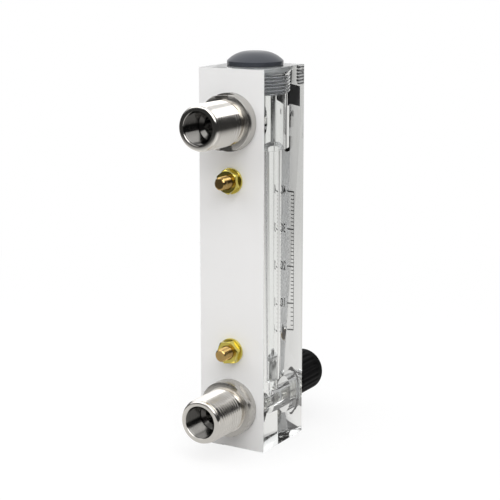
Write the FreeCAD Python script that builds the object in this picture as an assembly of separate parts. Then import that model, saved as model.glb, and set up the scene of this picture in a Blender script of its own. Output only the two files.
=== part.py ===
import FreeCAD, Part
import math
import os

# Panel-mount acrylic block rotameter (variable-area flow meter) with a needle valve.
#
# Frame: +Z up along the metering tube, -Y is the front (scale and knob), +Y is the back
# (white face, pipe fittings, mounting studs). The origin is on the tube's axis, at the
# block's bottom face. Lengths are millimetres.

# ---- block -------------------------------------------------------------------------
BODY_WIDTH = 34.0
BODY_HEIGHT = 178.0
AXIS_TO_BACK = 21.5          # tube axis to the outer face of the white film
AXIS_TO_FRONT = 16.0         # tube axis to the front face
FILM_THICKNESS = 0.25        # white film bonded on the block's back
FILM_BOTTOM_TRIM = 0.3       # the film is trimmed just clear of the block's bottom edge

# ---- fits --------------------------------------------------------------------------
THREAD_CLEARANCE = 0.05      # radial, between a plain-drawn thread and its hole
RUNNING_CLEARANCE = 0.05     # radial, for the valve stem in its guides
SEAL_CLEARANCE = 0.05        # around an O-ring in its gland
RING_SIDES = 8               # sides of an O-ring's section
STOP_GAP = 0.1               # between the resting float and its ledge
OVERRUN = 1.0                # how far a cutter reaches past the face it opens

# ---- metering tube and chambers in the block -----------------------------------------
TUBE_BOTTOM = 30.0           # height of the ledge that the float rests on
TUBE_BOTTOM_RADIUS = 5.15
TUBE_TOP_RADIUS = 5.85
CHAMBER_BELOW_OUTLET = 15.6  # from the outlet's axis down to the end of the tapered tube
CHAMBER_RADIUS = 11.2
CHAMBER_CONE = 1.0           # height of the chamber's shallow conical floor
FOOT_RADIUS = 3.5            # vertical hole from the valve bore up to the tube

# ---- top plug ------------------------------------------------------------------------
PLUG_THREAD_RADIUS = 11.95
PLUG_THREAD_LENGTH = 9.7
PLUG_NECK_RADIUS = 8.7
PLUG_FLANGE_RADIUS = 13.0
PLUG_RIM_HEIGHT = 2.1
PLUG_DOME_HEIGHT = 4.2
PLUG_TOP_RADIUS = 4.8
PLUG_DOME_STEPS = 3          # conical bands that make up the dome
PLUG_DOME_SWEEP = 40.0       # degrees the dome's profile turns through
PLUG_RING_SECTION = 3.5      # O-ring section under the flange
PLUG_THREAD_CHAMFER = 0.8

# ---- float and its upper stop ----------------------------------------------------------
STOP_ROD_RADIUS = 2.25
STOP_ROD_ABOVE_TUBE = 2.9    # from the end of the tapered tube up to the rod's lower end
STOP_ROD_SOCKET = 6.5        # how far the rod is let into the plug
STOP_ROD_CHAMFER = 0.5
FLOAT_RIM_RADIUS = 5.0
FLOAT_RIM_HEIGHT = 1.6
FLOAT_BODY_RADIUS = 4.2
FLOAT_BODY_HEIGHT = 8.6
FLOAT_WAIST_RADIUS = 3.2
FLOAT_WAIST_HEIGHT = 1.4
FLOAT_PIN_RADIUS = 1.6
FLOAT_PIN_HEIGHT = 3.0
FLOAT_CHAMFER = 0.5

# ---- pipe fittings (two alike) ---------------------------------------------------------
INLET_HEIGHT = 20.2
OUTLET_BELOW_TOP = 23.8          # the ports then stand 134 mm apart
PIPE_THREAD_RADIUS = 10.4775     # G 1/2 male, 20.955 mm over the crests
PIPE_THREAD_CHAMFER = 0.8
FITTING_LENGTH = 28.2            # from the back face to the open end
COLLAR_RADIUS = 13.25
COLLAR_THICKNESS = 6.4
COLLAR_RIM = 3.0                 # full round part of the collar, next to the block
COLLAR_CHAMFER = 0.4
WRENCH_FLATS = 24.6              # across the two milled flats
RELIEF_RADIUS = 9.2
RELIEF_LENGTH = 1.8
SPIGOT_RADIUS = 10.0             # M20 male end screwed into the block
SPIGOT_LENGTH = 8.5
SPIGOT_CHAMFER = 0.8
SPIGOT_END_GAP = 0.25            # between the spigot's end and the floor of its hole
SOCKET_RADIUS = 7.475            # G 3/8 female, 14.95 mm at the crests
SOCKET_DEPTH = 12.0
SOCKET_MOUTH_RADIUS = 8.4
SOCKET_MOUTH_DEPTH = 0.9
FITTING_BORE_RADIUS = 5.0
FITTING_RING_SECTION = 1.7
OUTLET_FLATS_ANGLE = 85.0        # direction of the flats' normal, from +X towards +Z
INLET_FLATS_ANGLE = 138.0
PASSAGE_RADIUS = 5.2             # drilled passages from the fittings inwards

# ---- mounting studs (two alike) --------------------------------------------------------
PORT_TO_STUD = 27.0              # from each port's axis to the stud next to it
STUD_RADIUS = 3.0                # M6
STUD_DEPTH = 9.5                 # length held in the block
STUD_REACH = 10.5                # length standing out of the back
STUD_CHAMFER = 0.7
STUD_HOLE_END_GAP = 0.5
WASHER_RADIUS = 6.0
WASHER_HOLE_RADIUS = 3.2
WASHER_THICKNESS = 1.2
NUT_FLATS = 10.0
NUT_THICKNESS = 3.2
NUT_CORNER_CHAMFER = 0.35
UPPER_NUT_ANGLE = 83.0
LOWER_NUT_ANGLE = 48.0

# ---- needle valve ------------------------------------------------------------------------
VALVE_BORE_RADIUS = 6.0
SEAT_FACE = 3.0                  # Y of the orifice's edge
SEAT_THICKNESS = 3.5
ORIFICE_RADIUS = 2.6
BONNET_THREAD_RADIUS = 9.0
BONNET_FLATS = 22.0
BONNET_FLANGE = 4.0
BONNET_NECK_RADIUS = 6.5
BONNET_NECK_LENGTH = 8.0
BONNET_CHAMFER = 0.6
BONNET_RING_SECTION = 1.5
STEM_RADIUS = 3.0
VALVE_TRAVEL = 3.5               # stem travel over the knob's three and a half turns
TRAVEL_MARGIN = 0.9              # left between the fully open piston and the bonnet
PISTON_RADIUS = 5.9
PISTON_FRONT = -1.0              # Y of the piston's inner face when shut
PISTON_LENGTH = 4.2
PISTON_GROOVE_RADIUS = 4.2
PISTON_GROOVE_WIDTH = 1.9
STEM_RING_SECTION = 1.65
NEEDLE_RADIUS = 3.2
NEEDLE_TIP_RADIUS = 1.0
NEEDLE_TAPER = 0.5               # radius lost for each millimetre of length
NEEDLE_SEAT_CLEARANCE = 0.08

# ---- knob --------------------------------------------------------------------------------
KNOB_RADIUS = 10.5
KNOB_LENGTH = 22.3
KNOB_GAP = 1.0                   # behind the knob, to the bonnet's neck
KNOB_NOSE_LENGTH = 2.6           # rounding of the nose, in two bands
KNOB_NOSE_RADIUS = 7.9
KNOB_SHOULDER_LENGTH = 0.8
KNOB_SHOULDER_RADIUS = 9.7
KNOB_TAIL_CHAMFER = 0.5
KNOB_BORE_DEPTH = 18.0
KNOB_SKIRT_RADIUS = 8.6          # the knob is hollow behind, around the bonnet's neck
KNOB_SKIRT_DEPTH = 1.2
FLUTE_COUNT = 24
FLUTE_DEPTH = 0.5
FLUTE_LENGTH = 17.0
GRUB_RADIUS = 2.0                # M4 set screw
GRUB_LENGTH = 6.4
GRUB_HEX_FLATS = 2.0
GRUB_HEX_DEPTH = 2.5
GRUB_SETBACK = 6.0               # from the knob's tail to the screw's axis
GRUB_TIP_CHAMFER = 0.4

# ---- worked out from the above ---------------------------------------------------------------
BACK_FACE = AXIS_TO_BACK
FRONT_FACE = -AXIS_TO_FRONT
BLOCK_BACK = BACK_FACE - FILM_THICKNESS
OUTLET_HEIGHT = BODY_HEIGHT - OUTLET_BELOW_TOP
CHAMBER_FLOOR = OUTLET_HEIGHT - CHAMBER_BELOW_OUTLET
STOP_ROD_END = CHAMBER_FLOOR + STOP_ROD_ABOVE_TUBE
UPPER_STUD_HEIGHT = OUTLET_HEIGHT - PORT_TO_STUD
LOWER_STUD_HEIGHT = INLET_HEIGHT + PORT_TO_STUD

PLUG_GLAND_DEPTH = PLUG_RING_SECTION + 2 * SEAL_CLEARANCE
PLUG_GLAND_RADIUS = PLUG_NECK_RADIUS + PLUG_GLAND_DEPTH
PLUG_THREAD_TOP = BODY_HEIGHT - PLUG_GLAND_DEPTH
PLUG_END = PLUG_THREAD_TOP - PLUG_THREAD_LENGTH

FITTING_GLAND_DEPTH = FITTING_RING_SECTION + 2 * SEAL_CLEARANCE
FITTING_GLAND_RADIUS = SPIGOT_RADIUS + FITTING_GLAND_DEPTH + 2 * SEAL_CLEARANCE
SPIGOT_HOLE_FLOOR = BACK_FACE - SPIGOT_LENGTH - SPIGOT_END_GAP

BONNET_GLAND_DEPTH = BONNET_RING_SECTION + 2 * SEAL_CLEARANCE
BONNET_GLAND_RADIUS = BONNET_THREAD_RADIUS + BONNET_GLAND_DEPTH
PISTON_BACK = PISTON_FRONT - PISTON_LENGTH
PISTON_MIDDLE = PISTON_FRONT - PISTON_LENGTH / 2
BONNET_INNER_END = PISTON_BACK - VALVE_TRAVEL - TRAVEL_MARGIN
BONNET_OUTER_END = FRONT_FACE - BONNET_FLANGE - BONNET_NECK_LENGTH
KNOB_TAIL = BONNET_OUTER_END - KNOB_GAP
KNOB_NOSE = KNOB_TAIL - KNOB_LENGTH
STEM_END = KNOB_TAIL - KNOB_BORE_DEPTH + STOP_GAP
GRUB_Y = KNOB_TAIL - GRUB_SETBACK

UP = FreeCAD.Vector(0, 0, 1)
ALONG_Y = FreeCAD.Vector(0, 1, 0)
ORIGIN = FreeCAD.Vector(0, 0, 0)


def turned(outline):
    """Solid turned from a closed outline of (radius, height) points about the Z axis."""
    points = [FreeCAD.Vector(radius, 0, height) for radius, height in outline]
    face = Part.Face(Part.makePolygon(points + points[:1]))
    return face.revolve(ORIGIN, UP, 360)


def laid_along_y(shape, height):
    """Turn a piece made along +Z so that it lies along +Y at the given height."""
    shape.rotate(ORIGIN, FreeCAD.Vector(1, 0, 0), -90)
    shape.translate(FreeCAD.Vector(0, 0, height))
    return shape


def turned_y(outline, height):
    """Solid turned from (radius, y) points about the line along Y at the given height."""
    return laid_along_y(turned(outline), height)


def bore_y(radius, start, end, height):
    """Round cutter along Y from start to end."""
    return Part.makeCylinder(radius, end - start, FreeCAD.Vector(0, start, height), ALONG_Y)


def bore_z(radius, bottom, top):
    """Round cutter along Z on the tube's axis."""
    return Part.makeCylinder(radius, top - bottom, FreeCAD.Vector(0, 0, bottom), UP)


def hexagon_y(flats, start, end, height, angle):
    """Hexagonal bar along Y with one corner at the given angle from +X towards +Z."""
    corner = flats / 2 / math.cos(math.pi / 6)
    points = []
    for side in range(7):
        turn = math.radians(angle + 60 * side)
        points.append(FreeCAD.Vector(corner * math.cos(turn), start, height + corner * math.sin(turn)))
    return Part.Face(Part.makePolygon(points)).extrude(FreeCAD.Vector(0, end - start, 0))


def o_ring(inner_radius, section):
    """Seated seal about Z, centred on the origin, its round section eased to eight sides."""
    middle = inner_radius + section / 2
    corner = section / 2 / math.cos(math.pi / RING_SIDES)
    outline = []
    for side in range(RING_SIDES):
        turn = 2 * math.pi * (side + 0.5) / RING_SIDES
        outline.append((middle + corner * math.cos(turn), corner * math.sin(turn)))
    return turned(outline)


# ---- block ---------------------------------------------------------------------------------

def tube_cutter():
    """The tapered tube, the foot below it and the chamber and threaded mouth above it."""
    foot = bore_z(FOOT_RADIUS, INLET_HEIGHT, TUBE_BOTTOM + OVERRUN)
    thread = PLUG_THREAD_RADIUS + THREAD_CLEARANCE
    upper = turned([
        (0, TUBE_BOTTOM),
        (TUBE_BOTTOM_RADIUS, TUBE_BOTTOM),
        (TUBE_TOP_RADIUS, CHAMBER_FLOOR),
        (CHAMBER_RADIUS, CHAMBER_FLOOR + CHAMBER_CONE),
        (CHAMBER_RADIUS, PLUG_END),
        (thread, PLUG_END),
        (thread, PLUG_THREAD_TOP),
        (PLUG_GLAND_RADIUS, PLUG_THREAD_TOP),
        (PLUG_GLAND_RADIUS, BODY_HEIGHT + OVERRUN),
        (0, BODY_HEIGHT + OVERRUN),
    ])
    return foot.fuse(upper)


def port_cutter(height):
    """Hole for a fitting's spigot, with the O-ring's gland at its mouth."""
    hole = SPIGOT_RADIUS + THREAD_CLEARANCE
    gland_floor = BACK_FACE - FITTING_GLAND_DEPTH
    return turned_y([
        (0, SPIGOT_HOLE_FLOOR),
        (hole, SPIGOT_HOLE_FLOOR),
        (hole, gland_floor),
        (FITTING_GLAND_RADIUS, gland_floor),
        (FITTING_GLAND_RADIUS, BACK_FACE + OVERRUN),
        (0, BACK_FACE + OVERRUN),
    ], height)


def valve_cutter():
    """Inlet passage, orifice, valve bore, bonnet thread and gland, on one axis."""
    orifice_back = SEAT_FACE + SEAT_THICKNESS
    thread = BONNET_THREAD_RADIUS + THREAD_CLEARANCE
    thread_floor = BONNET_INNER_END + THREAD_CLEARANCE
    gland_floor = FRONT_FACE + BONNET_GLAND_DEPTH
    return turned_y([
        (0, SPIGOT_HOLE_FLOOR + OVERRUN),
        (0, FRONT_FACE - OVERRUN),
        (BONNET_GLAND_RADIUS, FRONT_FACE - OVERRUN),
        (BONNET_GLAND_RADIUS, gland_floor),
        (thread, gland_floor),
        (thread, thread_floor),
        (VALVE_BORE_RADIUS, thread_floor),
        (VALVE_BORE_RADIUS, SEAT_FACE),
        (ORIFICE_RADIUS, SEAT_FACE),
        (ORIFICE_RADIUS, orifice_back),
        (PASSAGE_RADIUS, orifice_back),
        (PASSAGE_RADIUS, SPIGOT_HOLE_FLOOR + OVERRUN),
    ], INLET_HEIGHT)


def acrylic_body():
    """Clear block with the tapered metering tube and every drilled passage."""
    block = Part.makeBox(BODY_WIDTH, BLOCK_BACK - FRONT_FACE, BODY_HEIGHT,
                         FreeCAD.Vector(-BODY_WIDTH / 2, FRONT_FACE, 0))
    outlet_passage = bore_y(PASSAGE_RADIUS, 0, SPIGOT_HOLE_FLOOR + OVERRUN, OUTLET_HEIGHT)
    cutters = [tube_cutter(), valve_cutter(), outlet_passage,
               port_cutter(INLET_HEIGHT), port_cutter(OUTLET_HEIGHT)]
    for height in (LOWER_STUD_HEIGHT, UPPER_STUD_HEIGHT):
        floor = BACK_FACE - STUD_DEPTH - STUD_HOLE_END_GAP
        cutters.append(bore_y(STUD_RADIUS + THREAD_CLEARANCE, floor, BACK_FACE, height))
    for cutter in cutters:
        block = block.cut(cutter)
    return block


def white_backing():
    """Opaque white film on the block's back, cut out at the ports and studs."""
    film = Part.makeBox(BODY_WIDTH, FILM_THICKNESS, BODY_HEIGHT - FILM_BOTTOM_TRIM,
                        FreeCAD.Vector(-BODY_WIDTH / 2, BLOCK_BACK, FILM_BOTTOM_TRIM))
    for height in (INLET_HEIGHT, OUTLET_HEIGHT):
        film = film.cut(bore_y(FITTING_GLAND_RADIUS, BLOCK_BACK - OVERRUN, BACK_FACE + OVERRUN, height))
    for height in (LOWER_STUD_HEIGHT, UPPER_STUD_HEIGHT):
        hole = STUD_RADIUS + THREAD_CLEARANCE
        film = film.cut(bore_y(hole, BLOCK_BACK - OVERRUN, BACK_FACE + OVERRUN, height))
    return film


# ---- top plug, stop rod and float -----------------------------------------------------------

def dome_points(rim, crown):
    """Points of the dome's profile from the rim to the edge of the flat top, on one arc."""
    run = PLUG_FLANGE_RADIUS - PLUG_TOP_RADIUS
    rise = crown - rim
    half = math.radians(PLUG_DOME_SWEEP / 2)
    points = []
    for step in range(PLUG_DOME_STEPS + 1):
        turn = half * (2 * step / PLUG_DOME_STEPS - 1)
        along = (math.sin(turn) / math.sin(half) + 1) / 2
        bulge = (math.cos(turn) - math.cos(half)) / (2 * math.sin(half))
        points.append((PLUG_FLANGE_RADIUS - along * run + bulge * rise,
                       rim + along * rise + bulge * run))
    return points


def top_plug():
    """Domed plug, screwed into the block, with a socket for the stop rod below."""
    rim = BODY_HEIGHT + PLUG_RIM_HEIGHT
    crown = rim + PLUG_DOME_HEIGHT
    thread_end = PLUG_THREAD_RADIUS - PLUG_THREAD_CHAMFER
    plug = turned([
        (0, PLUG_END),
        (thread_end, PLUG_END),
        (PLUG_THREAD_RADIUS, PLUG_END + PLUG_THREAD_CHAMFER),
        (PLUG_THREAD_RADIUS, PLUG_THREAD_TOP),
        (PLUG_NECK_RADIUS, PLUG_THREAD_TOP),
        (PLUG_NECK_RADIUS, BODY_HEIGHT),
        (PLUG_FLANGE_RADIUS, BODY_HEIGHT),
        *dome_points(rim, crown),
        (0, crown),
    ])
    socket = bore_z(STOP_ROD_RADIUS + THREAD_CLEARANCE, PLUG_END - OVERRUN, PLUG_END + STOP_ROD_SOCKET + THREAD_CLEARANCE)
    return plug.cut(socket)


def top_plug_oring():
    """Seal between the plug's neck and the block, under the flange."""
    ring = o_ring(PLUG_NECK_RADIUS + SEAL_CLEARANCE, PLUG_RING_SECTION)
    ring.translate(FreeCAD.Vector(0, 0, BODY_HEIGHT - PLUG_GLAND_DEPTH / 2))
    return ring


def float_stop():
    """Rod let into the plug; its lower end stops the float at the top of the tube."""
    top = PLUG_END + STOP_ROD_SOCKET
    tip = STOP_ROD_RADIUS - STOP_ROD_CHAMFER
    return turned([
        (0, STOP_ROD_END),
        (tip, STOP_ROD_END),
        (STOP_ROD_RADIUS, STOP_ROD_END + STOP_ROD_CHAMFER),
        (STOP_ROD_RADIUS, top - STOP_ROD_CHAMFER),
        (tip, top),
        (0, top),
    ])


def metering_float():
    """Turned float: plumb body, waist, sharp reading rim and stop pin."""
    bottom = TUBE_BOTTOM + STOP_GAP
    waist = bottom + FLOAT_BODY_HEIGHT
    rim = waist + FLOAT_WAIST_HEIGHT
    top = rim + FLOAT_RIM_HEIGHT
    pin = top + FLOAT_PIN_HEIGHT
    tip = FLOAT_PIN_RADIUS - FLOAT_CHAMFER
    return turned([
        (0, bottom),
        (FLOAT_BODY_RADIUS - FLOAT_CHAMFER, bottom),
        (FLOAT_BODY_RADIUS, bottom + FLOAT_CHAMFER),
        (FLOAT_BODY_RADIUS, waist - FLOAT_CHAMFER),
        (FLOAT_WAIST_RADIUS, waist),
        (FLOAT_RIM_RADIUS, rim),
        (FLOAT_RIM_RADIUS, top),
        (FLOAT_PIN_RADIUS, top),
        (FLOAT_PIN_RADIUS, pin - FLOAT_CHAMFER),
        (tip, pin),
        (0, pin),
    ])


# ---- pipe fittings --------------------------------------------------------------------------

def fitting(height, flats_angle):
    """Threaded pipe fitting: spigot in the block, collar with two flats, male and female ends."""
    root = BACK_FACE - SPIGOT_LENGTH
    collar = BACK_FACE + COLLAR_THICKNESS
    thread = collar + RELIEF_LENGTH
    end = BACK_FACE + FITTING_LENGTH
    socket_floor = end - SOCKET_DEPTH
    body = turned_y([
        (FITTING_BORE_RADIUS, root),
        (SPIGOT_RADIUS - SPIGOT_CHAMFER, root),
        (SPIGOT_RADIUS, root + SPIGOT_CHAMFER),
        (SPIGOT_RADIUS, BACK_FACE),
        (COLLAR_RADIUS, BACK_FACE),
        (COLLAR_RADIUS, collar - COLLAR_CHAMFER),
        (COLLAR_RADIUS - COLLAR_CHAMFER, collar),
        (RELIEF_RADIUS, collar),
        (RELIEF_RADIUS, thread),
        (PIPE_THREAD_RADIUS, thread + PIPE_THREAD_RADIUS - RELIEF_RADIUS),
        (PIPE_THREAD_RADIUS, end - PIPE_THREAD_CHAMFER),
        (PIPE_THREAD_RADIUS - PIPE_THREAD_CHAMFER, end),
        (SOCKET_MOUTH_RADIUS, end),
        (SOCKET_RADIUS, end - SOCKET_MOUTH_DEPTH),
        (SOCKET_RADIUS, socket_floor),
        (FITTING_BORE_RADIUS, socket_floor - (SOCKET_RADIUS - FITTING_BORE_RADIUS) / 2),
    ], height)
    return body.cut(flat_cutters(height, flats_angle))


def flat_cutters(height, angle):
    """Two blocks that mill the collar's flats, leaving the rim by the block round."""
    milled = COLLAR_THICKNESS - COLLAR_RIM
    reach = COLLAR_RADIUS + OVERRUN
    start = BACK_FACE + COLLAR_RIM
    cutters = []
    for side in (0, 180):
        box = Part.makeBox(reach, milled + OVERRUN, 2 * reach,
                           FreeCAD.Vector(WRENCH_FLATS / 2, start, -reach))
        box.rotate(ORIGIN, ALONG_Y, -(angle + side))
        box.translate(FreeCAD.Vector(0, 0, height))
        cutters.append(box)
    return cutters[0].fuse(cutters[1])


def fitting_oring(height):
    """Seal round a fitting's spigot, under its collar."""
    ring = o_ring(SPIGOT_RADIUS + SEAL_CLEARANCE, FITTING_RING_SECTION)
    ring.translate(FreeCAD.Vector(0, 0, BACK_FACE - FITTING_GLAND_DEPTH / 2))
    return laid_along_y(ring, height)


# ---- mounting studs --------------------------------------------------------------------------

def stud(height):
    """Threaded stud, held in the block and standing out of the back."""
    root = BACK_FACE - STUD_DEPTH
    end = BACK_FACE + STUD_REACH
    tip = STUD_RADIUS - STUD_CHAMFER
    return turned_y([
        (0, root),
        (tip, root),
        (STUD_RADIUS, root + STUD_CHAMFER),
        (STUD_RADIUS, end - STUD_CHAMFER),
        (tip, end),
        (0, end),
    ], height)


def stud_washer(height):
    """Plain washer lying on the block's back."""
    end = BACK_FACE + WASHER_THICKNESS
    outer = bore_y(WASHER_RADIUS, BACK_FACE, end, height)
    return outer.cut(bore_y(WASHER_HOLE_RADIUS, BACK_FACE - OVERRUN, end + OVERRUN, height))


def stud_nut(height, angle):
    """Hexagon nut on the washer, its corners chamfered at both faces."""
    start = BACK_FACE + WASHER_THICKNESS
    end = start + NUT_THICKNESS
    corner = NUT_FLATS / 2 / math.cos(math.pi / 6)
    inner = corner - 2 * NUT_CORNER_CHAMFER
    barrel = turned_y([
        (STUD_RADIUS + THREAD_CLEARANCE, start),
        (inner, start),
        (corner, start + NUT_CORNER_CHAMFER),
        (corner, end - NUT_CORNER_CHAMFER),
        (inner, end),
        (STUD_RADIUS + THREAD_CLEARANCE, end),
    ], height)
    return hexagon_y(NUT_FLATS, start, end, height, angle).common(barrel)


# ---- needle valve -------------------------------------------------------------------------------

def valve_bonnet():
    """Hexagonal bonnet screwed into the front of the block; the stem runs through it."""
    flange = FRONT_FACE - BONNET_FLANGE
    hole = STEM_RADIUS + RUNNING_CLEARANCE
    neck_tip = BONNET_NECK_RADIUS - BONNET_CHAMFER
    core = turned_y([
        (0, BONNET_INNER_END),
        (0, BONNET_OUTER_END),
        (neck_tip, BONNET_OUTER_END),
        (BONNET_NECK_RADIUS, BONNET_OUTER_END + BONNET_CHAMFER),
        (BONNET_NECK_RADIUS, FRONT_FACE - BONNET_FLANGE / 2),
        (BONNET_THREAD_RADIUS, FRONT_FACE - BONNET_FLANGE / 2),
        (BONNET_THREAD_RADIUS, BONNET_INNER_END - BONNET_CHAMFER),
        (BONNET_THREAD_RADIUS - BONNET_CHAMFER, BONNET_INNER_END),
    ], INLET_HEIGHT)
    corner = BONNET_FLATS / 2 / math.cos(math.pi / 6)
    dome = turned_y([
        (0, FRONT_FACE),
        (0, flange),
        (corner - 2 * BONNET_CHAMFER, flange),
        (corner, flange + BONNET_CHAMFER),
        (corner, FRONT_FACE),
    ], INLET_HEIGHT)
    hexagon = hexagon_y(BONNET_FLATS, flange, FRONT_FACE, INLET_HEIGHT, 30).common(dome)
    body = core.fuse(hexagon).removeSplitter()
    return body.cut(bore_y(hole, BONNET_OUTER_END - OVERRUN, BONNET_INNER_END + OVERRUN, INLET_HEIGHT))


def bonnet_oring():
    """Seal round the bonnet's thread, under its hexagon."""
    ring = o_ring(BONNET_THREAD_RADIUS + SEAL_CLEARANCE, BONNET_RING_SECTION)
    ring.translate(FreeCAD.Vector(0, 0, FRONT_FACE + BONNET_GLAND_DEPTH / 2))
    return laid_along_y(ring, INLET_HEIGHT)


def valve_stem():
    """Stem with its grooved piston and the tapered needle, shut against the orifice."""
    seat_radius = ORIFICE_RADIUS - NEEDLE_SEAT_CLEARANCE
    taper_start = SEAT_FACE - (NEEDLE_RADIUS - seat_radius) / NEEDLE_TAPER
    tip = SEAT_FACE + (seat_radius - NEEDLE_TIP_RADIUS) / NEEDLE_TAPER
    groove_front = PISTON_MIDDLE + PISTON_GROOVE_WIDTH / 2
    groove_back = PISTON_MIDDLE - PISTON_GROOVE_WIDTH / 2
    return turned_y([
        (0, tip),
        (0, STEM_END),
        (STEM_RADIUS - STUD_CHAMFER, STEM_END),
        (STEM_RADIUS, STEM_END + STUD_CHAMFER),
        (STEM_RADIUS, PISTON_BACK),
        (PISTON_RADIUS, PISTON_BACK),
        (PISTON_RADIUS, groove_back),
        (PISTON_GROOVE_RADIUS, groove_back),
        (PISTON_GROOVE_RADIUS, groove_front),
        (PISTON_RADIUS, groove_front),
        (PISTON_RADIUS, PISTON_FRONT),
        (NEEDLE_RADIUS, PISTON_FRONT),
        (NEEDLE_RADIUS, taper_start),
        (NEEDLE_TIP_RADIUS, tip),
    ], INLET_HEIGHT)


def stem_oring():
    """Seal in the piston's groove."""
    ring = o_ring(PISTON_GROOVE_RADIUS + SEAL_CLEARANCE, STEM_RING_SECTION)
    ring.translate(FreeCAD.Vector(0, 0, PISTON_MIDDLE))
    return laid_along_y(ring, INLET_HEIGHT)


# ---- knob -------------------------------------------------------------------------------------------

def knob_flutes():
    """V-shaped grip flutes round the knob, run out before its nose."""
    root = KNOB_RADIUS - FLUTE_DEPTH
    reach = KNOB_RADIUS + OVERRUN
    half = reach - root
    start = KNOB_TAIL - FLUTE_LENGTH
    corners = [(root, 0), (reach, half), (reach, -half), (root, 0)]
    wedge = Part.Face(Part.makePolygon([FreeCAD.Vector(x, start, z) for x, z in corners]))
    flute = wedge.extrude(FreeCAD.Vector(0, FLUTE_LENGTH + OVERRUN, 0))
    flutes = []
    for index in range(FLUTE_COUNT):
        copy = flute.copy()
        copy.rotate(ORIGIN, ALONG_Y, 360 * (index + 0.5) / FLUTE_COUNT)
        copy.translate(FreeCAD.Vector(0, 0, INLET_HEIGHT))
        flutes.append(copy)
    return Part.makeCompound(flutes)


def valve_knob():
    """Fluted knob on the stem's end, with a tapped hole for its set screw."""
    tail = KNOB_RADIUS - KNOB_TAIL_CHAMFER
    knob = turned_y([
        (0, KNOB_TAIL),
        (0, KNOB_NOSE),
        (KNOB_NOSE_RADIUS, KNOB_NOSE),
        (KNOB_SHOULDER_RADIUS, KNOB_NOSE + KNOB_SHOULDER_LENGTH),
        (KNOB_RADIUS, KNOB_NOSE + KNOB_NOSE_LENGTH),
        (KNOB_RADIUS, KNOB_TAIL - KNOB_TAIL_CHAMFER),
        (tail, KNOB_TAIL),
    ], INLET_HEIGHT)
    hole = STEM_RADIUS + RUNNING_CLEARANCE
    knob = knob.cut(bore_y(hole, KNOB_TAIL - KNOB_BORE_DEPTH, KNOB_TAIL + OVERRUN, INLET_HEIGHT))
    knob = knob.cut(bore_y(KNOB_SKIRT_RADIUS, KNOB_TAIL - KNOB_SKIRT_DEPTH, KNOB_TAIL + OVERRUN, INLET_HEIGHT))
    grub_hole = Part.makeCylinder(GRUB_RADIUS + THREAD_CLEARANCE, KNOB_RADIUS + OVERRUN,
                                  FreeCAD.Vector(0, GRUB_Y, INLET_HEIGHT), UP)
    return knob.cut(grub_hole).cut(knob_flutes())


def knob_set_screw():
    """Set screw with a hexagon socket, tightened on the stem."""
    bottom = STEM_RADIUS + RUNNING_CLEARANCE
    top = bottom + GRUB_LENGTH
    screw = turned([
        (0, bottom),
        (GRUB_RADIUS - GRUB_TIP_CHAMFER, bottom),
        (GRUB_RADIUS, bottom + GRUB_TIP_CHAMFER),
        (GRUB_RADIUS, top),
        (0, top),
    ])
    socket = hexagon_y(GRUB_HEX_FLATS, top - GRUB_HEX_DEPTH, top + OVERRUN, 0, 0)
    socket.rotate(ORIGIN, FreeCAD.Vector(1, 0, 0), 90)
    screw = screw.cut(socket)
    screw.translate(FreeCAD.Vector(0, GRUB_Y, INLET_HEIGHT))
    return screw


PIECES = {
    "acrylic_body": acrylic_body(),
    "white_backing": white_backing(),
    "top_plug": top_plug(),
    "top_plug_oring": top_plug_oring(),
    "float_stop": float_stop(),
    "metering_float": metering_float(),
    "outlet_fitting": fitting(OUTLET_HEIGHT, OUTLET_FLATS_ANGLE),
    "outlet_oring": fitting_oring(OUTLET_HEIGHT),
    "inlet_fitting": fitting(INLET_HEIGHT, INLET_FLATS_ANGLE),
    "inlet_oring": fitting_oring(INLET_HEIGHT),
    "upper_stud": stud(UPPER_STUD_HEIGHT),
    "upper_stud_washer": stud_washer(UPPER_STUD_HEIGHT),
    "upper_stud_nut": stud_nut(UPPER_STUD_HEIGHT, UPPER_NUT_ANGLE),
    "lower_stud": stud(LOWER_STUD_HEIGHT),
    "lower_stud_washer": stud_washer(LOWER_STUD_HEIGHT),
    "lower_stud_nut": stud_nut(LOWER_STUD_HEIGHT, LOWER_NUT_ANGLE),
    "valve_bonnet": valve_bonnet(),
    "bonnet_oring": bonnet_oring(),
    "valve_stem": valve_stem(),
    "stem_oring": stem_oring(),
    "valve_knob": valve_knob(),
    "knob_set_screw": knob_set_screw(),
}

os.makedirs("parts", exist_ok=True)
for name, shape in PIECES.items():
    shape.exportStep("parts/" + name + ".step")
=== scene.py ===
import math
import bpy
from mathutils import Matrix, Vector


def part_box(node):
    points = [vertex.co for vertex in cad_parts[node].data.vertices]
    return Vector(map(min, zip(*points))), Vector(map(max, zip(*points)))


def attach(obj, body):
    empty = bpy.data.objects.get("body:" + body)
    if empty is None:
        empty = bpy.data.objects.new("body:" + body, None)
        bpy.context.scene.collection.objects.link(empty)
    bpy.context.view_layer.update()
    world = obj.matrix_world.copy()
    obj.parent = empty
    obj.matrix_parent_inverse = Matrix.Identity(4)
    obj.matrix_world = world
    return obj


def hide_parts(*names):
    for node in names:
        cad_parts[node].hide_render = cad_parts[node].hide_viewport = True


bl_info = {
    "name": "Panel Rotameter Dresser",
    "version": (1, 0, 0),
    "blender": (4, 5, 0),
    "location": "View3D > Sidebar > Rotameter",
    "description": "Builds the finished look of a clear block rotameter around its packed CAD part",
    "category": "Object",
}

from functools import partial

import bmesh
import bpy
from bpy.props import FloatProperty, FloatVectorProperty, IntProperty, PointerProperty
from mathutils import Matrix, Vector

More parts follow.
